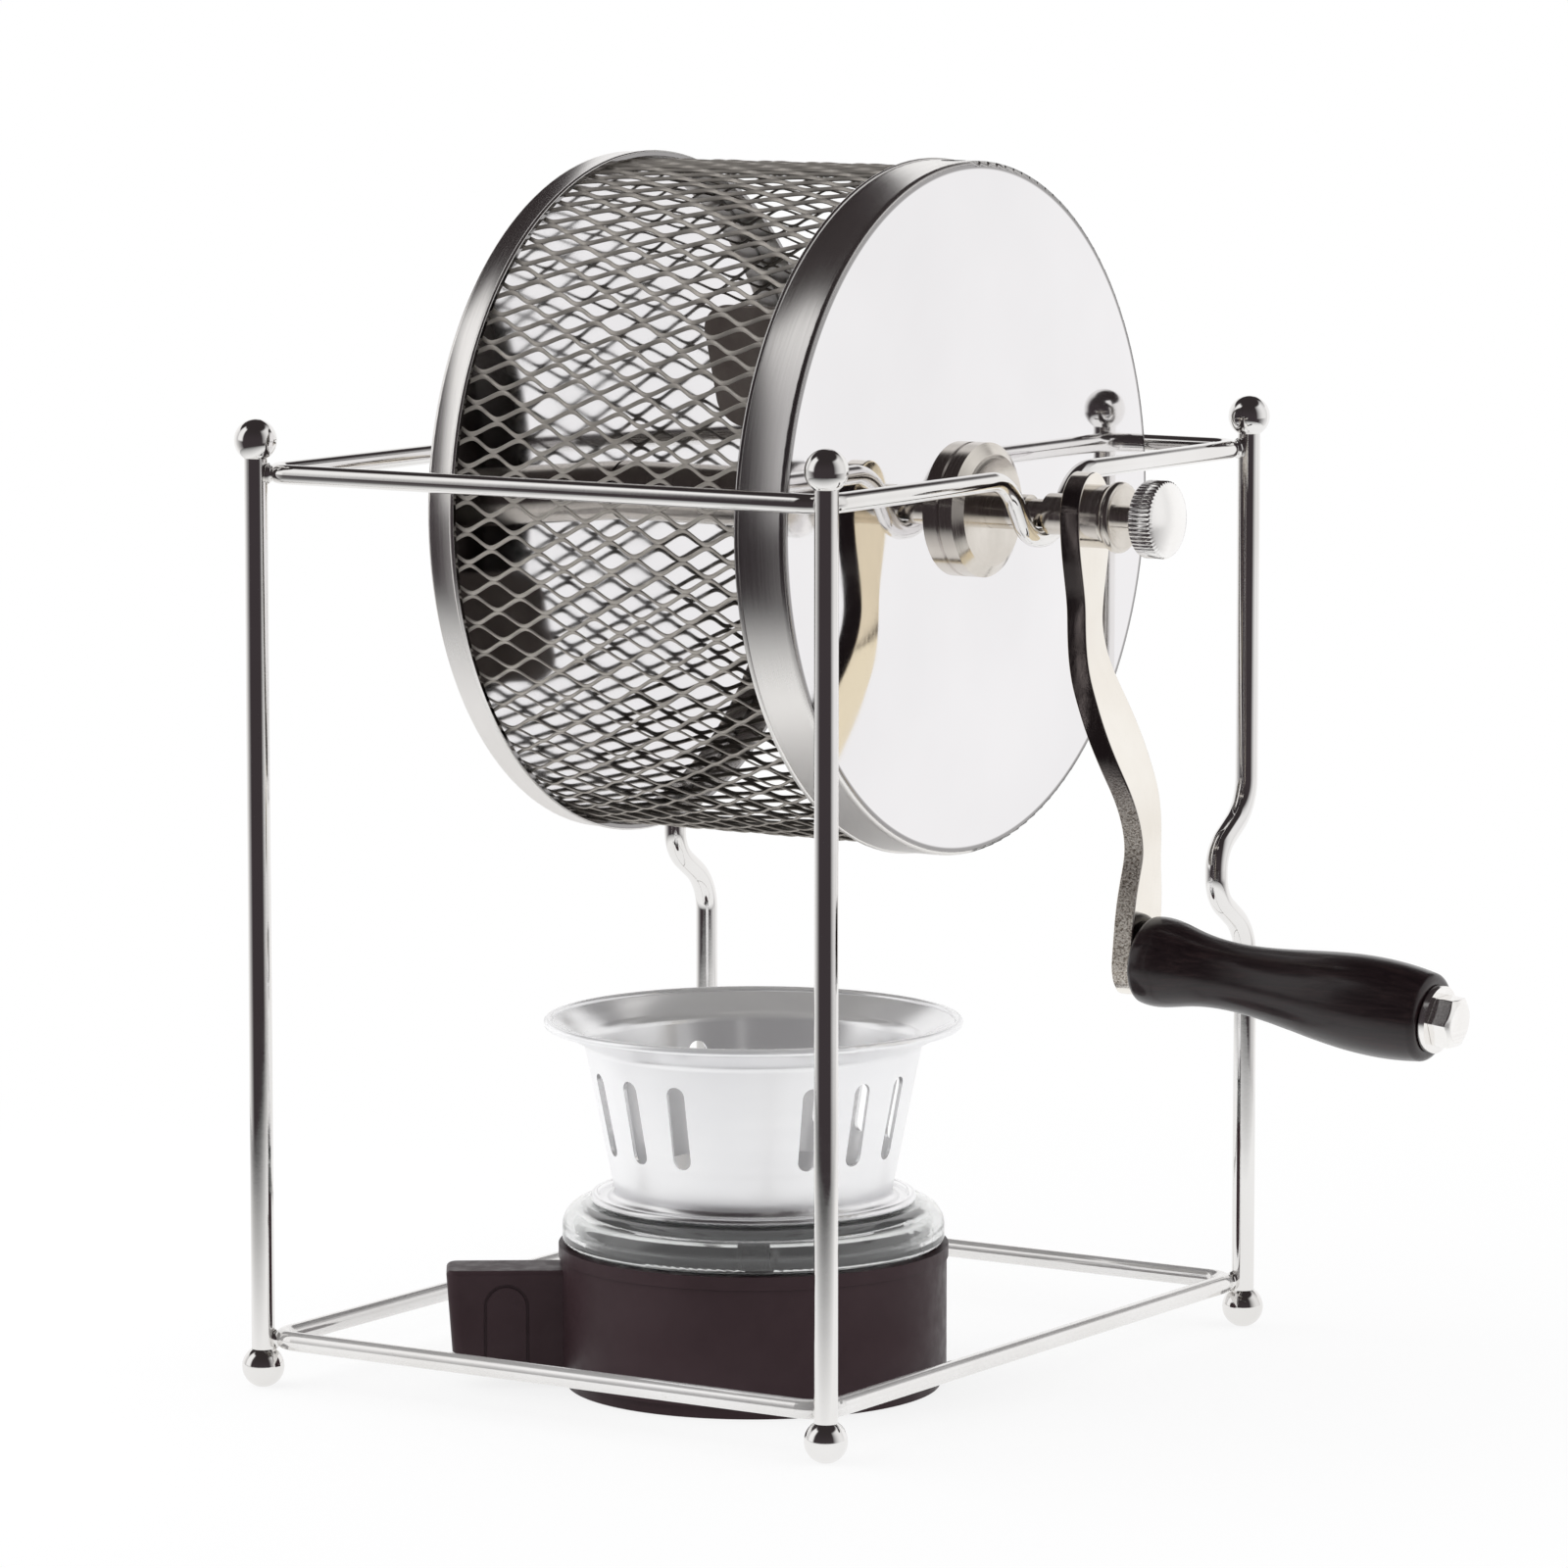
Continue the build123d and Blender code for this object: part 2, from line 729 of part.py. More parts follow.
def make_wick():
    low = base_floor + bowl_wall + wick_off_floor
    high = base_height + shoulder_rise + neck_height + wick_tube_above + wick_above
    wick_r = wick_d / 2
    outline = [(0, low), (wick_r, low), (wick_r, high), (0, high)]
    return lamp_spot * spun(outline, [((wick_r, high), wick_top_r)])


def make_windscreen():
    """Spun sheet cone with a foot ring, a flared rim and slots in groups."""
    seat_z = base_height + shoulder_rise + facing_gap
    flare_z = seat_z + screen_flare_z
    rim_z = seat_z + screen_height
    wall = screen_sheet
    shell = spun(
        [
            (screen_foot_r, seat_z),
            (screen_foot_r, seat_z + wall),
            (screen_low_r, seat_z + wall),
            (screen_high_r, flare_z),
            (screen_flange_r, rim_z - wall),
            (screen_flange_r, rim_z),
            (screen_high_r - wall, flare_z + wall / 2),
            (screen_low_r - wall, seat_z),
        ],
        [
            ((screen_low_r, seat_z + wall), screen_foot_bend_r),
            ((screen_high_r, flare_z), screen_flare_bend_r),
            ((screen_high_r - wall, flare_z + wall / 2), screen_flare_bend_r + wall),
        ],
    )
    foot_bead = revolve(Plane.XZ * Pos(screen_foot_r, seat_z + screen_bead_r) * Circle(screen_bead_r), Axis.Z)
    rim_bead = revolve(Plane.XZ * Pos(screen_flange_r, rim_z - wall / 2) * Circle(screen_bead_r), Axis.Z)
    shell = shell + foot_bead + rim_bead
    slot = Pos(0, 0, seat_z + slot_mid_z) * extrude(
        Plane.YZ * Rot(Z=90) * SlotOverall(slot_length, slot_width), screen_flange_r
    )
    for group in range(slot_groups):
        for place in range(slots_per_group):
            offset = (place - (slots_per_group - 1) / 2) * slot_spacing
            shell -= Rot(Z=slot_first_group + group * 360 / slot_groups + offset) * slot
    return lamp_spot * shell


nodes = {
    "post_front_left": straight_post(-post_x, -post_y),
    "post_front_right": straight_post(post_x, -post_y),
    "post_rear_left": notched_post(-post_x, post_y),
    "post_rear_right": notched_post(post_x, post_y),
    "top_ring": make_top_ring(),
    "bottom_ring": make_bottom_ring(),
    "top_finials": four_balls(make_finial(), finial_z),
    "foot_balls": four_balls(make_foot(), foot_z),
    "drum_mesh": make_drum_mesh(),
    "mouth_band": make_mouth_band(),
    "back_cap": make_back_cap(),
    "back_hub": make_back_hub(),
    "axle": make_axle(),
    "spacer_tube": make_spacer_tube(),
    "lid": make_lid(),
    "lid_hub": make_lid_hub(),
    "lifting_blade_a": make_blade(0),
    "lifting_blade_b": make_blade(180),
    "crank_arm": make_crank_arm(),
    "crank_boss": make_crank_boss(),
    "lock_washer": make_lock_washer(),
    "thumb_screw": make_thumb_screw(),
    "handle_bolt": make_handle_bolt(),
    "handle_washer": make_handle_washer(),
    "wooden_grip": make_wooden_grip(),
    "lamp_base": make_lamp_base(),
    "glass_bowl": make_glass_bowl(),
    "burner_cap": make_burner_cap(),
    "wick": make_wick(),
    "windscreen": make_windscreen(),
}

os.makedirs("parts", exist_ok=True)
for name, shape in nodes.items():
    export_step(shape, f"parts/{name}.step")
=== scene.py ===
import math
import random

import bmesh
import bpy
from mathutils import Matrix, Quaternion, Vector

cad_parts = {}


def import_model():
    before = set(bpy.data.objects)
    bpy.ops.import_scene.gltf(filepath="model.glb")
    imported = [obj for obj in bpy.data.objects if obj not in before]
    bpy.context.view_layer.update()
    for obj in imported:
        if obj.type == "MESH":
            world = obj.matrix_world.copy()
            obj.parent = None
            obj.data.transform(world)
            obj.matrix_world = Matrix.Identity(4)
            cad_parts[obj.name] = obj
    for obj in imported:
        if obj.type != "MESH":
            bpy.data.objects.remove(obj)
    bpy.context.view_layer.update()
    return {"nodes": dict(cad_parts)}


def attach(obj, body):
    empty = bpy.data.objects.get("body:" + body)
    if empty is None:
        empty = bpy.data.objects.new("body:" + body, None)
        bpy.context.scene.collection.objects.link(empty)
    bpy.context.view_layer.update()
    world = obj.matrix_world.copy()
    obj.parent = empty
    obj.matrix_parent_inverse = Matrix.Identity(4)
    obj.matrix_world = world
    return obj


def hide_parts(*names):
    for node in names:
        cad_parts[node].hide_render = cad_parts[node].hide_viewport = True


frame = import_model()
nodes = frame["nodes"]
random.seed(7)

# Places and sizes of the solids, in millimetres
MM = 0.001
AXLE_Z = 189.174
DRUM_R = 74.1
LID_FACE_X = 53.469
LID_INNER_X = 52.669
POST_X = 72.0
POST_Y = 86.7
POST_D = 5.0
LAMP = Vector((14.4, -25.7, 0.0))

# Level directions away from the camera and to its right
BACKWARDS = Vector((-0.546, 0.838, 0.0))
RIGHTWARDS = Vector((0.838, 0.546, 0.0))

# Places of turned pieces, which are made along the X axis
AXLE = Matrix.Translation((0.0, 0.0, AXLE_Z))
LAMP_UP = Matrix.Translation(LAMP) @ Matrix.Rotation(-math.pi / 2, 4, "Y")

# Most of a noise texture's values lie between these two
NOISE_LOW = 0.3
NOISE_HIGH = 0.7


# Making meshes


def new_object(name, data):
    """New object, linked to the scene."""
    obj = bpy.data.objects.new(name, data)
    bpy.context.scene.collection.objects.link(obj)
    return obj


def finish_mesh(mesh, material, sharp):
    """Turn the faces outwards, shade smooth apart from edges over the sharp angle, set the material."""
    bm = bmesh.new()
    bm.from_mesh(mesh)
    bmesh.ops.recalc_face_normals(bm, faces=bm.faces)
    bm.to_mesh(mesh)
    bm.free()
    mesh.polygons.foreach_set("use_smooth", [True] * len(mesh.polygons))
    mesh.set_sharp_from_angle(angle=math.radians(sharp))
    mesh.materials.clear()
    mesh.materials.append(material)


def add_mesh(name, verts, faces, material, sharp):
    """Object from points in millimetres."""
    mesh = bpy.data.meshes.new(name)
    mesh.from_pydata([Vector(v) * MM for v in verts], [], faces)
    mesh.validate()
    finish_mesh(mesh, material, sharp)
    return new_object(name, mesh)


def lathe(name, outline, place, material, segments, sharp, relief):
    """Closed outline of (along, radius) points turned about the local X axis, with relief on its radius."""
    same_place = 1e-7
    verts = []
    faces = []
    n = len(outline)
    for j in range(segments):
        angle = 2 * math.pi * j / segments
        for x, radius in outline:
            r = radius + relief(x, radius, angle)
            verts.append(place @ Vector((x, r * math.cos(angle), r * math.sin(angle))))
    for j in range(segments):
        for i in range(n):
            a = j * n + i
            b = j * n + (i + 1) % n
            c = ((j + 1) % segments) * n + (i + 1) % n
            d = ((j + 1) % segments) * n + i
            faces.append((a, b, c, d))
    obj = add_mesh(name, verts, faces, material, sharp)
    bm = bmesh.new()
    bm.from_mesh(obj.data)
    bmesh.ops.remove_doubles(bm, verts=bm.verts, dist=same_place)
    bmesh.ops.dissolve_degenerate(bm, edges=bm.edges, dist=same_place)
    bm.to_mesh(obj.data)
    bm.free()
    return obj


def softened(name, node, material, width):
    """Copy of a CAD node with its hard edges rounded over the width, in millimetres."""
    hard = math.radians(35.0)
    flat = math.radians(0.3)
    same_place = 3e-6
    sharp = 40.0
    obj = new_object(name, nodes[node].data.copy())
    mesh = obj.data
    bm = bmesh.new()
    bm.from_mesh(mesh)
    bmesh.ops.remove_doubles(bm, verts=bm.verts, dist=same_place)
    bmesh.ops.dissolve_limit(bm, angle_limit=flat, verts=bm.verts, edges=bm.edges)
    edges = [e for e in bm.edges if len(e.link_faces) == 2 and e.calc_face_angle() > hard]
    bmesh.ops.bevel(
        bm,
        geom=edges,
        offset=width * MM,
        segments=3,
        profile=0.5,
        affect="EDGES",
        clamp_overlap=True,
    )
    bm.to_mesh(mesh)
    bm.free()
    finish_mesh(mesh, material, sharp)
    obj.modifiers.new("even_shading", "WEIGHTED_NORMAL").keep_sharp = True
    return obj


def put(obj, body, slot, *replaced):
    """Tie a piece to its body, in place of the CAD nodes that it replaces; the slot is not used."""
    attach(obj, body)
    if replaced:
        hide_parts(*replaced)


def dress(material, *names):
    """Give CAD nodes a material."""
    for name in names:
        data = nodes[name].data
        data.materials.clear()
        data.materials.append(material)


# Building node trees


class Nodes:
    """Short hand for building a node tree."""

    def __init__(self, tree):
        self.tree = tree

    def new(self, kind, **settings):
        node = self.tree.nodes.new(kind)
        for key, value in settings.items():
            setattr(node, key, value)
        return node

    def link(self, a, b):
        self.tree.links.new(a, b)

    def feed(self, inputs, values):
        """Link each value that is another node's output, and set the plain ones."""
        for socket, value in zip(inputs, values):
            if isinstance(value, bpy.types.NodeSocket):
                self.link(value, socket)
            else:
                socket.default_value = value

    def math(self, operation, *values):
        node = self.new("ShaderNodeMath", operation=operation)
        self.feed(node.inputs, values)
        return node.outputs[0]

    def times(self, product, *others):
        for other in others:
            product = self.math("MULTIPLY", product, other)
        return product

    def rest_of(self, share):
        """What a share leaves of the whole."""
        return self.math("SUBTRACT", 1, share)

    def vector_math(self, operation, *values):
        node = self.new("ShaderNodeVectorMath", operation=operation)
        self.feed(node.inputs, values)
        return node.outputs["Value" if operation in ("DOT_PRODUCT", "LENGTH") else "Vector"]

    def split(self, vector):
        node = self.new("ShaderNodeSeparateXYZ")
        self.link(vector, node.inputs["Vector"])
        return node.outputs["X"], node.outputs["Y"], node.outputs["Z"]

    def coordinate(self, kind):
        return self.new("ShaderNodeTexCoord").outputs[kind]

    def coords(self, stretch=(1, 1, 1), move=(0, 0, 0)):
        """Place on the piece in metres, stretched and moved."""
        mapping = self.new("ShaderNodeMapping")
        mapping.inputs["Scale"].default_value = stretch
        mapping.inputs["Location"].default_value = move
        self.link(self.coordinate("Object"), mapping.inputs["Vector"])
        return mapping.outputs["Vector"]

    def noise(self, vector, scale, detail=3.0, rough=0.5, distortion=0.0):
        node = self.new("ShaderNodeTexNoise")
        node.inputs["Scale"].default_value = scale
        node.inputs["Detail"].default_value = detail
        node.inputs["Roughness"].default_value = rough
        node.inputs["Distortion"].default_value = distortion
        self.link(vector, node.inputs["Vector"])
        return node.outputs["Fac"]

    def ranged(self, value, low, high, to_low, to_high, smooth=True):
        node = self.new("ShaderNodeMapRange", interpolation_type="SMOOTHSTEP" if smooth else "LINEAR")
        node.inputs["From Min"].default_value = low
        node.inputs["From Max"].default_value = high
        node.inputs["To Min"].default_value = to_low
        node.inputs["To Max"].default_value = to_high
        self.link(value, node.inputs["Value"])
        return node.outputs["Result"]

    def fade_in(self, value, start, full):
        return self.ranged(value, start, full, 0.0, 1.0)

    def fade_out(self, value, start, gone):
        return self.ranged(value, start, gone, 1.0, 0.0)

    def spread(self, noise, low, high):
        """Noise drawn out over a range."""
        return self.ranged(noise, NOISE_LOW, NOISE_HIGH, low, high)

    def colours(self, factor, *stops):
        """Colour ramp through (position, colour) stops."""
        node = self.new("ShaderNodeValToRGB")
        ramp = node.color_ramp
        for element, (position, colour) in zip(ramp.elements, (stops[0], stops[-1])):
            element.position = position
            element.color = (*colour, 1)
        for position, colour in stops[1:-1]:
            ramp.elements.new(position).color = (*colour, 1)
        self.link(factor, node.inputs["Fac"])
        return node.outputs["Color"]

    def tints(self, noise, first, second):
        """Patches of two colours."""
        return self.colours(noise, (NOISE_LOW, first), (NOISE_HIGH, second))

    def mix(self, factor, a, b):
        node = self.new("ShaderNodeMix", data_type="RGBA")
        self.link(factor, node.inputs["Factor"])
        sockets = [s for s in node.inputs if s.type == "RGBA"]
        self.feed(sockets, [(*value, 1) if isinstance(value, tuple) else value for value in (a, b)])
        return [s for s in node.outputs if s.type == "RGBA"][0]

    def bump(self, height, depth, strength=1.0, normal=None):
        """Relief of a depth in millimetres, on top of another relief if one is given."""
        node = self.new("ShaderNodeBump")
        node.inputs["Strength"].default_value = strength
        node.inputs["Distance"].default_value = depth * MM
        self.link(height, node.inputs["Height"])
        if normal:
            self.link(normal, node.inputs["Normal"])
        return node.outputs["Normal"]


class Surface(Nodes):
    """Node tree of a new material, around its own shader."""

    def __init__(self, name):
        self.mat = bpy.data.materials.new(name)
        self.mat.use_nodes = True
        super().__init__(self.mat.node_tree)
        self.shader = self.tree.nodes["Principled BSDF"]

    def set(self, **values):
        for key, value in values.items():
            self.shader.inputs[key.replace("_", " ")].default_value = value

    def use(self, **sockets):
        for key, value in sockets.items():
            self.link(value, self.shader.inputs[key.replace("_", " ")])
        return self.mat


# Materials


def outward_share(n, across, centre):
    """How squarely the surface faces away from a line: 1 outwards, -1 towards it."""
    arm = n.vector_math("MULTIPLY_ADD", n.coordinate("Object"), across, -Vector(centre) * MM)
    outward = n.vector_math("NORMALIZE", arm)
    return n.vector_math("DOT_PRODUCT", outward, n.coordinate("Normal"))


def axle_place(n):
    """How far along the axle a point lies, and how far from the axle's line, in metres."""
    x, y, z = n.split(n.coordinate("Object"))
    up = n.math("SUBTRACT", z, AXLE_Z * MM)
    square = n.math("ADD", n.times(y, y), n.times(up, up))
    return x, n.math("SQRT", square)


def axle_facing(n):
    """Shares of a face square to the axle and of a rounded edge on the rear side, and the way up."""
    x, y, up = n.split(n.coordinate("Normal"))
    lean = n.math("ABSOLUTE", x)
    face = n.fade_in(lean, start=0.90, full=0.985)
    rounded = n.times(n.fade_in(lean, start=0.12, full=0.4), n.rest_of(face))
    rear_edge = n.times(rounded, n.fade_in(y, start=-0.05, full=0.2))
    return face, rear_edge, up


def turning_marks(n):
    """Fine lines that a lathe leaves, round the axle on sides and faces alike."""
    x, r = axle_place(n)
    join = n.new("ShaderNodeCombineXYZ")
    n.link(x, join.inputs["X"])
    n.link(r, join.inputs["Y"])
    return n.noise(join.outputs["Vector"], scale=2600, detail=3, rough=0.6)


def wire_material(name, metallic):
    """Drawn wire with faint waves and a few pits."""
    pit_tint = (0.42, 0.39, 0.36)
    pit_rough = 0.2
    n = Surface(name)
    n.set(Metallic=metallic)
    p = n.coords()
    waves = n.noise(p, scale=45, detail=2)
    specks = n.noise(p, scale=900, detail=4, rough=0.7)
    pits = n.fade_in(specks, start=0.70, full=0.78)
    tint = n.tints(n.noise(p, scale=30), (0.80, 0.785, 0.765), (0.87, 0.86, 0.85))
    polish = n.spread(n.noise(p, scale=160, detail=4), 0.035, 0.085)
    return n.use(
        Base_Color=n.mix(pits, tint, pit_tint),
        Roughness=n.math("ADD", polish, n.times(pits, pit_rough)),
        Normal=n.bump(specks, depth=0.004, normal=n.bump(waves, depth=0.05)),
    )


def mesh_material():
    """Strand steel: matt grey outside, dark brown on the side towards the axle as painted shade of the
    drum's inside.
    """
    n = Surface("mesh_steel")
    n.set(Metallic=0.74)
    p = n.coords()
    outward = outward_share(n, across=(0.0, 1.0, 1.0), centre=(0.0, 0.0, AXLE_Z))
    outside = n.fade_in(outward, start=-0.55, full=0.0)
    grey = n.colours(
        n.noise(p, scale=260, detail=4, rough=0.6),
        (0.25, (0.44, 0.412, 0.375)),
        (0.55, (0.53, 0.497, 0.455)),
        (0.8, (0.61, 0.573, 0.525)),
    )
    # Dark brown on the side towards the axle: painted shade inside the drum.
    brown = n.tints(
        n.noise(p, scale=150, detail=4, rough=0.6),
        (0.09, 0.080, 0.068),
        (0.18, 0.162, 0.138),
    )
    dents = n.bump(n.noise(p, scale=420, detail=2), depth=0.02)
    return n.use(
        Base_Color=n.mix(outside, brown, grey),
        Roughness=n.spread(n.noise(p, scale=700, detail=4), 0.50, 0.62),
        Normal=n.bump(n.noise(p, scale=2600), depth=0.006, normal=dents),
    )


def blade_material():
    """Sheet inside the drum, browned by roasting."""
    n = Surface("browned_steel")
    n.set(Metallic=0.4)
    p = n.coords()
    brown = n.colours(
        n.noise(p, scale=120, detail=4, rough=0.6),
        (0.3, (0.115, 0.092, 0.082)),
        (0.55, (0.15, 0.125, 0.112)),
        (0.8, (0.20, 0.17, 0.155)),
    )
    return n.use(
        Base_Color=brown,
        Roughness=n.spread(n.noise(p, scale=500, detail=4), 0.38, 0.55),
        Normal=n.bump(n.noise(p, scale=1500), depth=0.01),
    )


def drum_relief(n, p, x, on_lid, face, brushed):
    """Slant of the back cap's mirror, hollow across each skirt and brushed lines on both."""
    lid_middle, lid_half = 46.8, 5.5
    cap_middle, cap_half = -33.1, 3.6
    slant_rate = (0.0, 0.0, -45.0)
    on_cap = n.rest_of(on_lid)
    skirt = n.rest_of(face)

    def from_middle(middle, half):
        return n.math("DIVIDE", n.math("SUBTRACT", x, middle * MM), half * MM)

    lid_across = n.times(from_middle(lid_middle, lid_half), on_lid)
    cap_across = n.times(from_middle(cap_middle, cap_half), on_cap)
    across = n.math("ADD", lid_across, cap_across)
    hollow = n.times(across, across, skirt)
    slant = n.times(n.vector_math("DOT_PRODUCT", p, slant_rate), n.times(on_cap, face))
    normal = n.bump(n.noise(p, scale=22, detail=1), depth=0.02)
    normal = n.bump(slant, depth=1.0, normal=normal)
    normal = n.bump(hollow, depth=0.25, normal=normal)
    return n.bump(n.times(brushed, skirt), depth=0.0022, normal=normal)


def drum_material():
    """Sheet steel: mirror-polished faces, satin skirts, the lid's inner face dark brown and duller; painted
    dark reflection on the faces' outer rims and on rounded rear edges, painted shade on the lid's skirt.
    """
    lid_start, lid_full = 30.0, 31.0
    wall_start, wall_end = LID_FACE_X - 0.5, LID_FACE_X - 0.3
    brown_r, polished_r = 72.0, 72.3
    margin_start, margin_full = DRUM_R - 1.9, DRUM_R - 1.4
    painted_rim_reflection_tint = (0.36, 0.35, 0.35)
    cap_skirt_tint = (0.90, 0.88, 0.86)
    lid_skirt_tint = (0.92, 0.90, 0.875)
    lid_skirt_shade = (0.50, 0.485, 0.48)
    painted_rear_edge_reflection = (0.16, 0.155, 0.15)
    dull_rough = 0.3
    n = Surface("drum_steel")
    n.set(Metallic=1.0)
    p = n.coords()
    x, r = axle_place(n)
    face, rear_edge, up = axle_facing(n)
    skirt = n.rest_of(face)
    on_lid = n.fade_in(x, lid_start * MM, lid_full * MM)
    behind = n.fade_out(x, wall_start * MM, wall_end * MM)
    lid_inside = n.times(behind, on_lid, face, n.fade_out(r, brown_r * MM, polished_r * MM))
    brushed = n.noise(n.coords(stretch=(4200, 60, 60)), scale=1, detail=3, rough=0.6)

    # Roughness
    smear = n.noise(p, scale=55, detail=4, rough=0.6)
    polish = n.ranged(smear, low=0.3, high=0.75, to_low=0.025, to_high=0.065)
    satin = n.ranged(brushed, low=0.25, high=0.75, to_low=0.20, to_high=0.27)
    rough = n.math("ADD", n.times(polish, face), n.times(satin, skirt))
    underside = n.times(n.fade_out(up, start=-0.75, gone=-0.3), skirt)
    dull = n.math("MAXIMUM", lid_inside, underside)
    rough = n.math("ADD", rough, n.times(dull, dull_rough))

    # Colour
    polished = n.tints(n.noise(p, scale=18), (0.87, 0.86, 0.87), (0.92, 0.91, 0.92))
    # Faces darken towards their outer edge: painted dark reflection on the rounded rim.
    margin = n.fade_in(r, margin_start * MM, margin_full * MM)
    polished = n.mix(margin, polished, painted_rim_reflection_tint)
    # The lid's skirt is darker where it faces level: painted shade.
    shaded = n.times(n.fade_in(up, start=-0.5, full=0.0), n.fade_out(up, start=0.3, gone=0.75))
    skirt_tint = n.mix(on_lid, cap_skirt_tint, n.mix(shaded, lid_skirt_tint, lid_skirt_shade))
    # Rounded edges on the rear side are painted dark: painted dark reflection.
    skirt_tint = n.mix(rear_edge, skirt_tint, painted_rear_edge_reflection)
    # Dark brown for the lid's inner face.
    dark_brown = n.colours(
        n.noise(p, scale=90, detail=4, rough=0.6),
        (0.3, (0.030, 0.025, 0.024)),
        (0.75, (0.062, 0.052, 0.048)),
    )
    return n.use(
        Base_Color=n.mix(lid_inside, n.mix(face, skirt_tint, polished), dark_brown),
        Roughness=rough,
        Normal=drum_relief(n, p, x, on_lid, face, brushed),
    )


def turned_material(name, dull, clean):
    """Turned metal with patches of two tints and fine lines round the axle."""
    n = Surface(name)
    n.set(Metallic=1.0, Anisotropic=0.6)
    marks = turning_marks(n)
    circles = n.new("ShaderNodeTangent", direction_type="RADIAL", axis="X")
    return n.use(
        Base_Color=n.tints(n.noise(n.coords(), scale=120), dull, clean),
        Roughness=n.spread(marks, 0.10, 0.20),
        Normal=n.bump(marks, depth=0.003),
        Tangent=circles.outputs["Tangent"],
    )


def nickel_material():
    """Arm bar: polished faces, brassy at the back; edges polished near the axle and painted dark there as a
    reflection, coarsely sheared below.
    """
    sheared_z, polished_z = 118.0, 140.0
    brass_tint = (0.88, 0.77, 0.56)
    painted_edge_reflection = (0.20, 0.175, 0.17)
    n = Surface("nickel_arm")
    n.set(Metallic=1.0)
    p = n.coords()
    facing_x, facing_y, _ = n.split(n.coordinate("Normal"))
    _, _, height = n.split(n.coordinate("Object"))
    edge = n.fade_in(n.math("ABSOLUTE", facing_y), start=0.72, full=0.92)
    cut = n.times(edge, n.fade_out(height, sheared_z * MM, polished_z * MM))
    polish = n.noise(n.coords(stretch=(900, 900, 120)), scale=1)
    shear = n.noise(n.coords(stretch=(1900, 900, 2600)), scale=1, detail=3, rough=0.6)
    face_tint = n.tints(n.noise(p, scale=60), (0.87, 0.825, 0.755), (0.93, 0.895, 0.835))
    face_tint = n.mix(n.fade_out(facing_x, start=-0.8, gone=-0.4), face_tint, brass_tint)
    cut_tint = n.colours(
        shear,
        (0.36, (0.21, 0.175, 0.14)),
        (0.48, (0.66, 0.60, 0.53)),
        (0.62, (0.92, 0.88, 0.82)),
    )
    cut_rough = n.times(cut, n.spread(shear, 0.25, 0.45))
    # Edges near the axle are painted dark: painted dark reflection on polished edges.
    return n.use(
        Base_Color=n.mix(cut, n.mix(edge, face_tint, painted_edge_reflection), cut_tint),
        Roughness=n.math("ADD", n.spread(polish, 0.07, 0.15), cut_rough),
        Normal=n.bump(n.times(shear, cut), depth=0.22, normal=n.bump(polish, depth=0.003)),
    )


def wood_material():
    """Dark stained wood under lacquer, grain along the grip."""
    n = Surface("dark_wood")
    n.set(Coat_Weight=0.5, Coat_Roughness=0.14, Specular_IOR_Level=0.3)
    grain = n.noise(n.coords(stretch=(60, 900, 900)), scale=1, detail=5, rough=0.6, distortion=0.8)
    pores = n.noise(n.coords(stretch=(220, 4200, 4200)), scale=1, detail=3, rough=0.6)
    dark_brown = n.colours(
        grain,
        (0.28, (0.006, 0.003, 0.004)),
        (0.55, (0.014, 0.007, 0.008)),
        (0.8, (0.030, 0.014, 0.014)),
    )
    return n.use(
        Base_Color=dark_brown,
        Roughness=n.spread(grain, 0.28, 0.42),
        Normal=n.bump(pores, depth=0.010, strength=0.7, normal=n.bump(grain, depth=0.03, strength=0.6)),
    )


def plastic_material():
    """Brown moulded plastic with a fine grain."""
    n = Surface("brown_plastic")
    n.set(Specular_IOR_Level=0.12)
    p = n.coords()
    brown = n.tints(
        n.noise(p, scale=40, detail=4, rough=0.6),
        (0.033, 0.019, 0.022),
        (0.046, 0.028, 0.032),
    )
    waves = n.bump(n.noise(p, scale=70, detail=2), depth=0.05, strength=0.6)
    return n.use(
        Base_Color=brown,
        Roughness=n.spread(n.noise(p, scale=300, detail=4), 0.34, 0.46),
        Normal=n.bump(n.noise(p, scale=3800), depth=0.012, strength=0.8, normal=waves),
    )


def glass_material():
    """Pressed glass, a little wavy."""
    n = Surface("clear_glass")
    n.set(Transmission_Weight=0.93, IOR=1.5, Base_Color=(0.95, 0.96, 0.955, 1))
    p = n.coords()
    return n.use(
        Roughness=n.spread(n.noise(p, scale=90), 0.02, 0.07),
        Normal=n.bump(n.noise(p, scale=55, detail=2), depth=0.12, strength=0.8),
    )


def aluminium_material():
    """Spun sheet with faint rings about the upright, rougher outside, more metallic at the foot; the less
    metallic wall reads lighter as painted light, the foot darker as painted shade.
    """
    foot_top, wall_start = 42.2, 44.6
    foot_metal, wall_metal = 1.0, 0.6
    outside_rough = 0.12
    n = Surface("aluminium")
    p = n.coords()
    _, _, height = n.split(p)
    outward = outward_share(n, across=(1.0, 1.0, 0.0), centre=LAMP)
    outside = n.fade_in(outward, start=-0.2, full=0.2)
    rings = n.noise(n.coords(stretch=(12, 12, 900)), scale=1, detail=2)
    # Metallic stands in for light here: lower on the wall so it reads lighter, full at the foot so it reads
    # darker.
    return n.use(
        Base_Color=n.tints(n.noise(p, scale=60), (0.945, 0.945, 0.955), (0.975, 0.975, 0.98)),
        Metallic=n.ranged(height, foot_top * MM, wall_start * MM, foot_metal, wall_metal),
        Roughness=n.math("ADD", n.spread(rings, 0.16, 0.21), n.times(outside, outside_rough)),
        Normal=n.bump(rings, depth=0.003),
    )


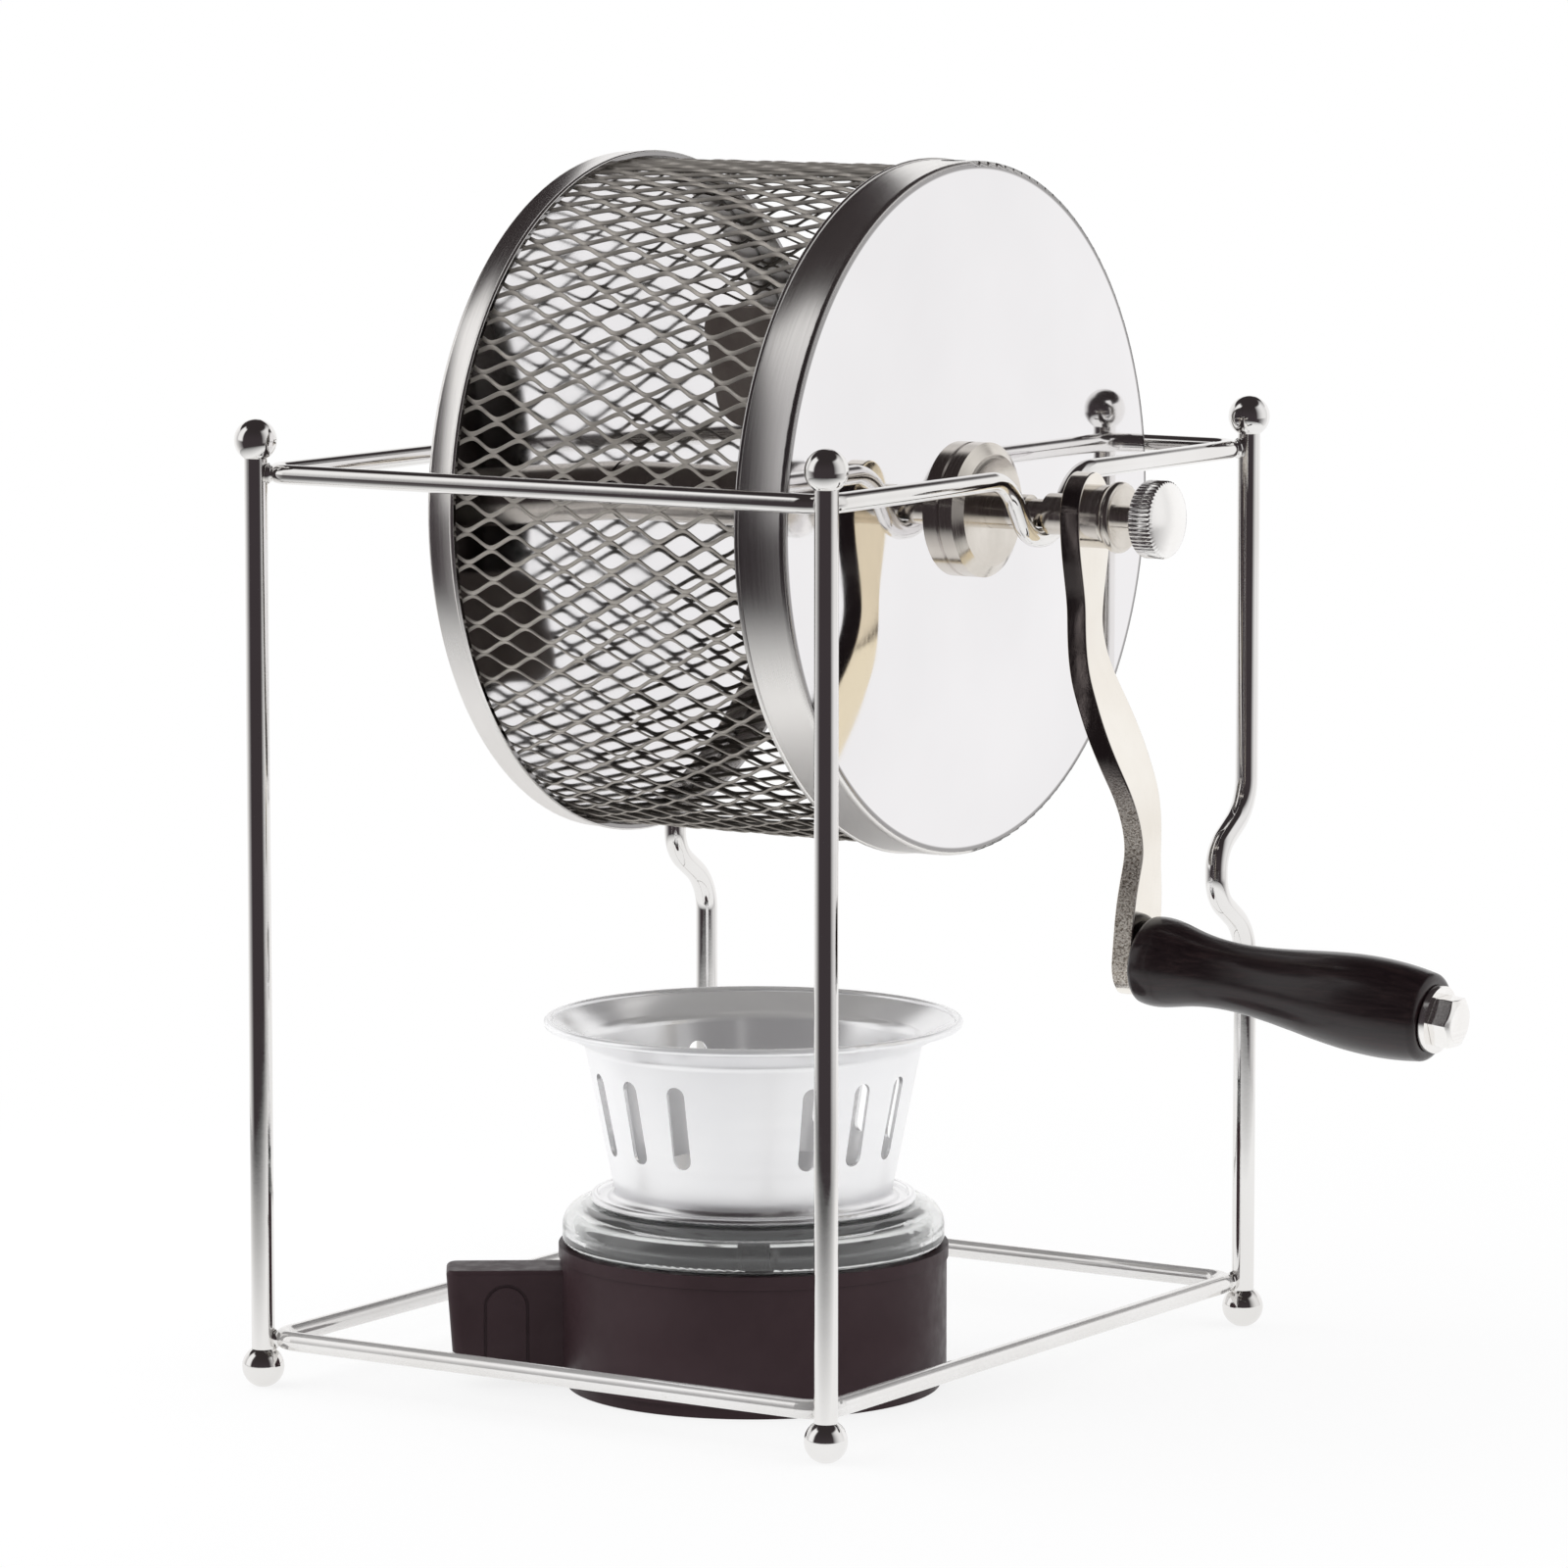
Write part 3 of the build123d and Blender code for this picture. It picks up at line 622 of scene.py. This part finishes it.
def cotton_material():
    """Cotton, dark where it is soaked."""
    soaked_z, dry_z = 36.0, 42.0
    n = Surface("cotton")
    n.set(Roughness=0.92, Sheen_Weight=0.4, Sheen_Roughness=0.5)
    fibre = n.noise(n.coords(stretch=(1, 1, 0.35)), scale=2600, detail=4, rough=0.7)
    dry = n.tints(fibre, (0.62, 0.58, 0.50), (0.86, 0.83, 0.76))
    wet = n.tints(fibre, (0.060, 0.056, 0.050), (0.095, 0.090, 0.082))
    _, _, height = n.split(n.coords())
    soaked = n.fade_out(height, soaked_z * MM, dry_z * MM)
    return n.use(Base_Color=n.mix(soaked, dry, wet), Normal=n.bump(fibre, depth=0.06))


wire = wire_material("bright_wire", 1.0)
# Copy of the bright wire, less metallic so that it reads lighter: painted glare from the bright table below
# the bottom ring.
painted_glare_wire = wire_material("painted_glare_wire", 0.62)
mesh_steel = mesh_material()
browned_steel = blade_material()
drum_steel = drum_material()
turned_steel = turned_material("turned_steel", (0.66, 0.62, 0.565), (0.77, 0.73, 0.675))
bright_steel = turned_material("bright_steel", (0.93, 0.915, 0.895), (0.985, 0.975, 0.96))
nickel = nickel_material()
wood = wood_material()
plastic = plastic_material()
glass = glass_material()
aluminium = aluminium_material()
cotton = cotton_material()

dress(wire, "post_front_left", "post_front_right", "post_rear_left", "post_rear_right")
dress(wire, "top_ring", "top_finials", "foot_balls")
# The bottom ring gets the lighter wire copy: painted glare from the table.
dress(painted_glare_wire, "bottom_ring")
dress(drum_steel, "lid", "back_cap", "mouth_band")
dress(turned_steel, "spacer_tube", "axle", "lid_hub", "back_hub", "crank_boss", "lock_washer")
dress(bright_steel, "handle_bolt", "handle_washer", "thumb_screw")
dress(wood, "wooden_grip")
dress(plastic, "lamp_base")
dress(glass, "glass_bowl")
dress(aluminium, "burner_cap", "windscreen")
dress(cotton, "wick")
dress(mesh_steel, "drum_mesh")
dress(browned_steel, "lifting_blade_a", "lifting_blade_b")
dress(nickel, "crank_arm")


# Pieces made in the scene


def expanded_mesh():
    """Wavy strands that meet at the bonds of slit and stretched sheet."""
    rows = 67
    half_pitch = 6.08
    strand = 0.85
    tilt = 0.45
    half_thick = 0.24
    chamfer = 0.13
    chamfer_growth = 4
    ring_r = 72.28
    start, end = -35.9, 52.3
    phase = 3.0
    steps_per_half = 8
    bond = 0.07
    straight, soft = 0.55, 0.45
    widening = 0.8
    unevenness = 0.04
    corners = 8
    sharp = 50.0
    step = 2 * math.pi * ring_r / rows
    rise = step / 2 - strand
    ramp_slope = rise / (half_pitch * (1 - 2 * bond))
    count = int((end - start) / half_pitch * steps_per_half)
    verts = []
    faces = []
    for ribbon in range(2 * rows):
        first = len(verts)
        wobble = random.uniform(-unevenness, unevenness)
        for i in range(count + 1):
            x = start + (end - start) * i / count
            k = (x - phase) / half_pitch - ribbon
            away = abs((k + 1) % 2 - 1)
            ramp = min(max((away - bond) / (1 - 2 * bond), 0.0), 1.0)
            u = straight * ramp + soft * ramp * ramp * (3 - 2 * ramp)
            slope = 0.0 if ramp in (0.0, 1.0) else ramp_slope
            wide = strand * math.sqrt(1 + slope * slope * widening)
            low = ribbon * step / 2 + u * rise - (wide - strand) / 2 + wobble * math.sin(math.pi * ramp)
            long = math.hypot(wide, tilt)
            along = Vector((wide, tilt)) / long
            out = Vector((-tilt, wide)) / long
            base = Vector((low, -tilt * u))
            near_cut = chamfer * min(1.0, chamfer_growth * u)
            far_cut = chamfer * min(1.0, chamfer_growth * (1 - u))
            section = [
                (near_cut, half_thick),
                (long - far_cut, half_thick),
                (long, half_thick - far_cut),
                (long, far_cut - half_thick),
                (long - far_cut, -half_thick),
                (near_cut, -half_thick),
                (0, near_cut - half_thick),
                (0, half_thick - near_cut),
            ]
            for across, thick in section:
                s, h = base + along * across + out * thick
                angle = s / ring_r
                r = ring_r + h
                verts.append((x, -r * math.cos(angle), AXLE_Z + r * math.sin(angle)))
        for i in range(count):
            for j in range(corners):
                a = first + i * corners + j
                b = first + i * corners + (j + 1) % corners
                faces.append((a, b, b + corners, a + corners))
        last = first + count * corners
        faces.append(tuple(range(first, first + corners)))
        faces.append(tuple(range(last + corners - 1, last - 1, -1)))
    obj = add_mesh("expanded_mesh", verts, faces, mesh_steel, sharp)
    put(obj, "drum_shell", "mesh_steel", "drum_mesh")


def thumb_screw():
    """Screw with a finely knurled rim and a smooth domed face."""
    tip_x, neck_x, head_x, top_x = 77.0, 91.02, 96.22, 101.62
    shank_r, neck_r, rim_r, dome_r, dome = 2.0, 2.7, 8.25, 7.8, 1.5
    # Rounding of the rim's two edges, as (along, inward) from each corner
    inner_edge = [(0.0, 0.9), (0.25, 0.35), (0.7, 0.0)]
    outer_edge = [(0.5, 0.0), (0.15, 0.15)]
    dome_steps = 8
    ridges = 52
    ridge_depth = 0.38
    segments_per_ridge = 6
    sharp = 40.0
    crown_r = (dome_r**2 + dome**2) / (2 * dome)
    outline = [(tip_x, 0.0), (tip_x, shank_r), (neck_x, shank_r), (neck_x, neck_r), (head_x, neck_r)]
    outline += [(head_x + along, rim_r - inward) for along, inward in inner_edge]
    outline += [(top_x - along, rim_r - inward) for along, inward in outer_edge]
    outline.append((top_x, dome_r))
    for k in range(1, dome_steps + 1):
        r = dome_r * (1 - k / dome_steps)
        outline.append((top_x + dome - crown_r + math.sqrt(crown_r**2 - r**2), r))

    def knurl(x, r, angle):
        cut = 0.5 - 0.5 * math.cos(ridges * angle)
        return -ridge_depth * cut * min(max((r - dome_r) / (rim_r - dome_r), 0.0), 1.0)

    segments = ridges * segments_per_ridge
    obj = lathe("knurled_thumb_screw", outline, AXLE, bright_steel, segments, sharp, knurl)
    put(obj, "thumb_screw", "turned_steel", "thumb_screw")


def wick():
    """Round braid of cotton, a little fuzzy, with a rounded top."""
    low, high, wick_r = 8.6, 56.4, 3.58
    strands = 6
    twist = 0.62
    depth = 0.45
    fuzz = 0.05
    core_r = 1.0
    round_height = 1.2
    roundness = 0.7
    dimple = 0.3
    steps = 110
    segments = 72
    sharp = 60.0
    outline = [(low, 0.0)]
    for k in range(steps + 1):
        z = low + (high - low) * k / steps
        outline.append((z, wick_r - max(0.0, z - high + round_height) ** 2 * roundness))
    outline.append((high - dimple, 0.0))

    def braid(z, r, angle):
        if r < core_r:
            return 0.0
        over = math.cos(strands * angle + twist * 2 * z)
        under = math.cos(strands * angle - twist * 2 * z)
        return -depth * (0.5 - 0.5 * max(over, under)) + random.uniform(-fuzz, 0.0)

    obj = lathe("wick_braid", outline, LAMP_UP, cotton, segments, sharp, braid)
    put(obj, "burner", "cotton", "wick")


def weld_bead(name, post, inward):
    """Lump of weld metal on the inward side of a post."""
    across, along, tall = 1.25, 2.3, 2.2
    lumpiness = 0.07
    rings, segments = 8, 14
    sharp = 60.0
    side = Vector((-inward.y, inward.x, 0.0))
    centre = post + inward * (POST_D / 2)
    verts = []
    faces = []
    for i in range(rings + 1):
        polar = math.pi * i / rings
        for j in range(segments):
            turn = 2 * math.pi * j / segments
            lump = 1 + random.uniform(-lumpiness, lumpiness)
            v = inward * (across * math.sin(polar) * math.cos(turn))
            v += side * (along * math.sin(polar) * math.sin(turn))
            v += Vector((0.0, 0.0, tall * math.cos(polar)))
            verts.append(centre + v * lump)
    for i in range(rings):
        for j in range(segments):
            a = i * segments + j
            b = i * segments + (j + 1) % segments
            faces.append((a, b, b + segments, a + segments))
    faces.append(tuple(range(segments)))
    faces.append(tuple(range(rings * segments, (rings + 1) * segments)))
    put(add_mesh(name, verts, faces, wire, sharp), "stand", "bright_wire")


def weld_beads():
    """One bead in each corner where a ring meets a post."""
    ring_heights = (("bottom", 10.07), ("top", 197.17))
    for level, z in ring_heights:
        for side, sx in (("left", -1), ("right", 1)):
            for end, sy in (("front", -1), ("rear", 1)):
                post = Vector((sx * POST_X, sy * POST_Y, z))
                inward = Vector((-sx, -sy, 0.0)).normalized()
                weld_bead(f"weld_{level}_{end}_{side}", post, inward)


def bent_path(points, radii):
    """(place, heading) pairs along straight runs joined by tangent arcs; radius 0 marks a free end."""
    arc_steps = 24
    path = []
    count = len(points)
    for i, radius in enumerate(radii):
        corner = Vector(points[i])
        if radius == 0.0:
            inner = Vector(points[1] if i == 0 else points[-2])
            heading = inner - corner if i == 0 else corner - inner
            path.append((corner, heading.normalized()))
            continue
        back = (Vector(points[i - 1]) - corner).normalized()
        ahead = (Vector(points[(i + 1) % count]) - corner).normalized()
        half = back.angle(ahead) / 2
        centre = corner + (back + ahead).normalized() * (radius / math.sin(half))
        start = corner + back * (radius / math.tan(half)) - centre
        pivot = (-back).cross(ahead).normalized()
        for k in range(arc_steps + 1):
            turn = Quaternion(pivot, (math.pi - 2 * half) * k / arc_steps)
            path.append((centre + turn @ start, turn @ -back))
    return path


def bent_wire(name, node, path, thickness, closed):
    """Round wire along a path, in place of a CAD node."""
    sides = 36
    sharp = 60.0
    verts = []
    faces = []
    direction = path[0][1]
    normal = direction.orthogonal().normalized()
    for place, heading in path:
        normal = direction.rotation_difference(heading) @ normal
        direction = heading
        across = heading.cross(normal)
        for j in range(sides):
            angle = 2 * math.pi * j / sides
            spoke = normal * math.cos(angle) + across * math.sin(angle)
            verts.append(place + spoke * (thickness / 2))
    rows = len(path)
    for i in range(rows if closed else rows - 1):
        for j in range(sides):
            a = i * sides + j
            b = i * sides + (j + 1) % sides
            c = (i + 1) % rows * sides + (j + 1) % sides
            d = (i + 1) % rows * sides + j
            faces.append((a, b, c, d))
    if not closed:
        faces.append(tuple(range(sides)))
        faces.append(tuple(range((rows - 1) * sides, rows * sides)))
    put(add_mesh(name, verts, faces, wire, sharp), "stand", "bright_wire", node)


def notched_wires():
    """Top ring and rear posts, with the softer bends that the photo shows in their notches."""
    ring_x, ring_y, ring_z = 70.469, 85.169, 197.174
    ring_d, ring_corner_r = 4.2, 6.0
    post_low, post_high, post_notch_z = 6.274, 202.274, 103.6
    mouth, seat, depth = 14.0, 5.2, 13.2
    mouth_r, seat_r = 12.0, 8.5
    notch = [(-mouth, 0.0), (-seat, depth), (seat, depth), (mouth, 0.0)]
    bends = [mouth_r, seat_r, seat_r, mouth_r]

    loop = []
    for side in (1, -1):
        loop.append((side * ring_x, -side * ring_y, ring_z))
        loop += [(side * ring_x, side * along, ring_z - down) for along, down in notch]
        loop.append((side * ring_x, side * ring_y, ring_z))
    radii = [ring_corner_r, *bends, ring_corner_r] * 2
    bent_wire("bent_top_ring", "top_ring", bent_path(loop, radii), ring_d, True)

    for side, x in (("left", -POST_X), ("right", POST_X)):
        line = [(x, POST_Y - down, post_notch_z + along) for along, down in notch]
        line = [(x, POST_Y, post_low), *line, (x, POST_Y, post_high)]
        node = f"post_rear_{side}"
        bent_wire(f"bent_{node}", node, bent_path(line, [0.0, *bends, 0.0]), POST_D, False)


def lifting_blade(name, node):
    """Blade that reaches further into the drum than its solid, nearer to the photo."""
    stretch = 1.12
    edge_round = 0.2
    obj = softened(name, node, browned_steel, edge_round)
    root = LID_INNER_X * MM
    for vertex in obj.data.vertices:
        vertex.co.x = root + (vertex.co.x - root) * stretch
    put(obj, "spindle", "mesh_steel", node)


def rounded_pieces():
    """Copies of solids with rounded edges: the arm, its bolt and the lamp's base."""
    arm = softened("rounded_crank_arm", "crank_arm", nickel, width=0.8)
    put(arm, "spindle", "nickel_arm", "crank_arm")
    bolt = softened("rounded_handle_bolt", "handle_bolt", bright_steel, width=0.3)
    put(bolt, "spindle", "turned_steel", "handle_bolt")
    base = softened("rounded_lamp_base", "lamp_base", plastic, width=0.22)
    put(base, "lamp_holder", "brown_plastic", "lamp_base")


expanded_mesh()
thumb_screw()
lifting_blade("long_blade_a", "lifting_blade_a")
lifting_blade("long_blade_b", "lifting_blade_b")
wick()
weld_beads()
notched_wires()
rounded_pieces()


# Studio


def seen_directly(n, path):
    """Whether a ray comes from the camera, also through glass."""
    return n.math("MAXIMUM", path.outputs["Is Camera Ray"], path.outputs["Is Transmission Ray"])


def world():
    """White to the camera; metal sees a white backdrop and side panels, a dark ceiling and camera side."""
    backdrop_turn = 0.15
    right_strength = 0.9
    white_tint = (0.99, 0.985, 0.985)
    low_gloom = (0.050, 0.041, 0.045)
    high_gloom = (0.036, 0.030, 0.031)
    soft_light = (0.82, 0.82, 0.83)
    plain_white = (1.0, 1.0, 1.0)
    studio = bpy.data.worlds.new("studio")
    bpy.context.scene.world = studio
    studio.use_nodes = True
    studio.cycles.sampling_method = "NONE"
    n = Nodes(studio.node_tree)
    way = n.coordinate("Generated")
    _, _, rise = n.split(way)
    level = n.math("SQRT", n.math("SUBTRACT", 1.0, n.times(rise, rise)))

    def part_along(direction):
        """Share of the level part of the way that points along a direction."""
        return n.math("DIVIDE", n.vector_math("DOT_PRODUCT", way, direction), level)

    behind = part_along(BACKWARDS)
    side = part_along(RIGHTWARDS)
    turned = n.math("ADD", behind, n.times(side, backdrop_turn))
    backdrop = n.times(
        n.ranged(turned, low=-0.5, high=0.6, to_low=0.0, to_high=1.0, smooth=False),
        n.fade_out(rise, start=0.42, gone=0.54),
    )
    left_panel = n.times(
        n.fade_out(side, start=-0.985, gone=-0.90),
        n.fade_in(rise, start=-0.14, full=0.06),
        n.fade_out(rise, start=0.74, gone=0.84),
    )
    right_panel = n.times(
        n.ranged(side, low=0.62, high=1.0, to_low=0.0, to_high=right_strength, smooth=False),
        n.fade_in(rise, start=-0.3, full=-0.1),
        n.fade_out(rise, start=0.7, gone=0.82),
    )
    white = n.math("MAXIMUM", n.math("MAXIMUM", backdrop, left_panel), right_panel)
    gloom = n.mix(n.fade_in(rise, start=0.0, full=0.9), low_gloom, high_gloom)
    room = n.mix(white, gloom, white_tint)
    path = n.new("ShaderNodeLightPath")
    plain = n.mix(seen_directly(n, path), soft_light, plain_white)
    back = n.tree.nodes["Background"]
    n.link(n.mix(path.outputs["Is Glossy Ray"], plain, room), back.inputs["Color"])
    back.inputs["Strength"].default_value = 1.0


def floor():
    """Round white table top that keeps a faint shadow and fades into the backdrop at its edge."""
    radius = 0.42
    segments = 128
    glow_start, glow_full, least_glow = 0.15, 0.40, 0.80
    lit_spot = BACKWARDS * 0.15 + RIGHTWARDS * 0.08
    lit_start, lit_end, lit_most, lit_least = 0.30, 0.56, 0.97, 0.06
    mirrored_share = 0.92
    plain_white = (1.0, 1.0, 1.0)
    ring = [2 * math.pi * k / segments for k in range(segments)]
    rim = [(radius * math.cos(a), radius * math.sin(a), 0.0) for a in ring]
    mesh = bpy.data.meshes.new("floor")
    mesh.from_pydata(rim, [], [tuple(range(segments))])
    obj = new_object("floor", mesh)
    n = Surface("floor")
    n.set(Base_Color=(0.95, 0.95, 0.95, 1), Roughness=0.9, Specular_IOR_Level=0.0)
    path = n.new("ShaderNodeLightPath")
    mirrored = path.outputs["Is Glossy Ray"]

    def distance(point):
        return n.vector_math("LENGTH", n.coords(move=-point))

    glowing = n.ranged(distance(Vector((0.0, 0.0, 0.0))), glow_start, glow_full, least_glow, 1.0)
    lit = n.ranged(distance(lit_spot), lit_start, lit_end, lit_most, lit_least, smooth=False)
    glow = n.new("ShaderNodeEmission")
    n.link(n.mix(mirrored, plain_white, lit), glow.inputs["Color"])
    seen_glow = n.times(seen_directly(n, path), glowing)
    share = n.math("MAXIMUM", seen_glow, n.times(mirrored, mirrored_share))
    blend = n.new("ShaderNodeMixShader")
    n.feed(blend.inputs, (share, n.shader.outputs[0], glow.outputs[0]))
    n.link(blend.outputs[0], n.tree.nodes["Material Output"].inputs["Surface"])
    mesh.materials.append(n.mat)


def softbox(name, near, far, low, high, power):
    """Upright lamp panel between two points on the table, in millimetres, facing the object."""
    near = Vector((*near, 0.0)) * MM
    far = Vector((*far, 0.0)) * MM
    light = bpy.data.lights.new(name, "AREA")
    light.shape = "RECTANGLE"
    light.size = (far - near).length
    light.size_y = (high - low) * MM
    light.energy = power
    obj = new_object(name, light)
    centre = (near + far) / 2
    along = (far - near).normalized()
    up = Vector((0.0, 0.0, 1.0))
    out = along.cross(up)
    if out.dot(centre) < 0:
        along = -along
        out = -out
    turn = Matrix((along, up, out)).transposed().to_4x4()
    obj.matrix_world = Matrix.Translation(centre + up * (low + high) / 2 * MM) @ turn
    obj.visible_camera = False
    obj.visible_transmission = False
    obj.visible_glossy = False


def camera():
    """Camera at the photograph's place, fitted to the stand's eight balls."""
    place = Vector((908.0, -1393.4, 334.2)) * MM
    target = Vector((5.6, 0.0, 126.86)) * MM
    data = bpy.data.cameras.new("camera")
    data.sensor_width = 36.0
    data.lens = 176.5
    data.clip_end = 100.0
    obj = new_object("camera", data)
    obj.location = place
    obj.rotation_euler = (target - place).to_track_quat("-Z", "Y").to_euler()
    bpy.context.scene.camera = obj


world()
floor()
camera()
softbox("softbox_left", near=(-147, -368), far=(-560, 100), low=20, high=630, power=1.4)
softbox("softbox_right", near=(663, -38), far=(450, 550), low=20, high=700, power=1.5)
bpy.context.scene.view_settings.view_transform = "Standard"
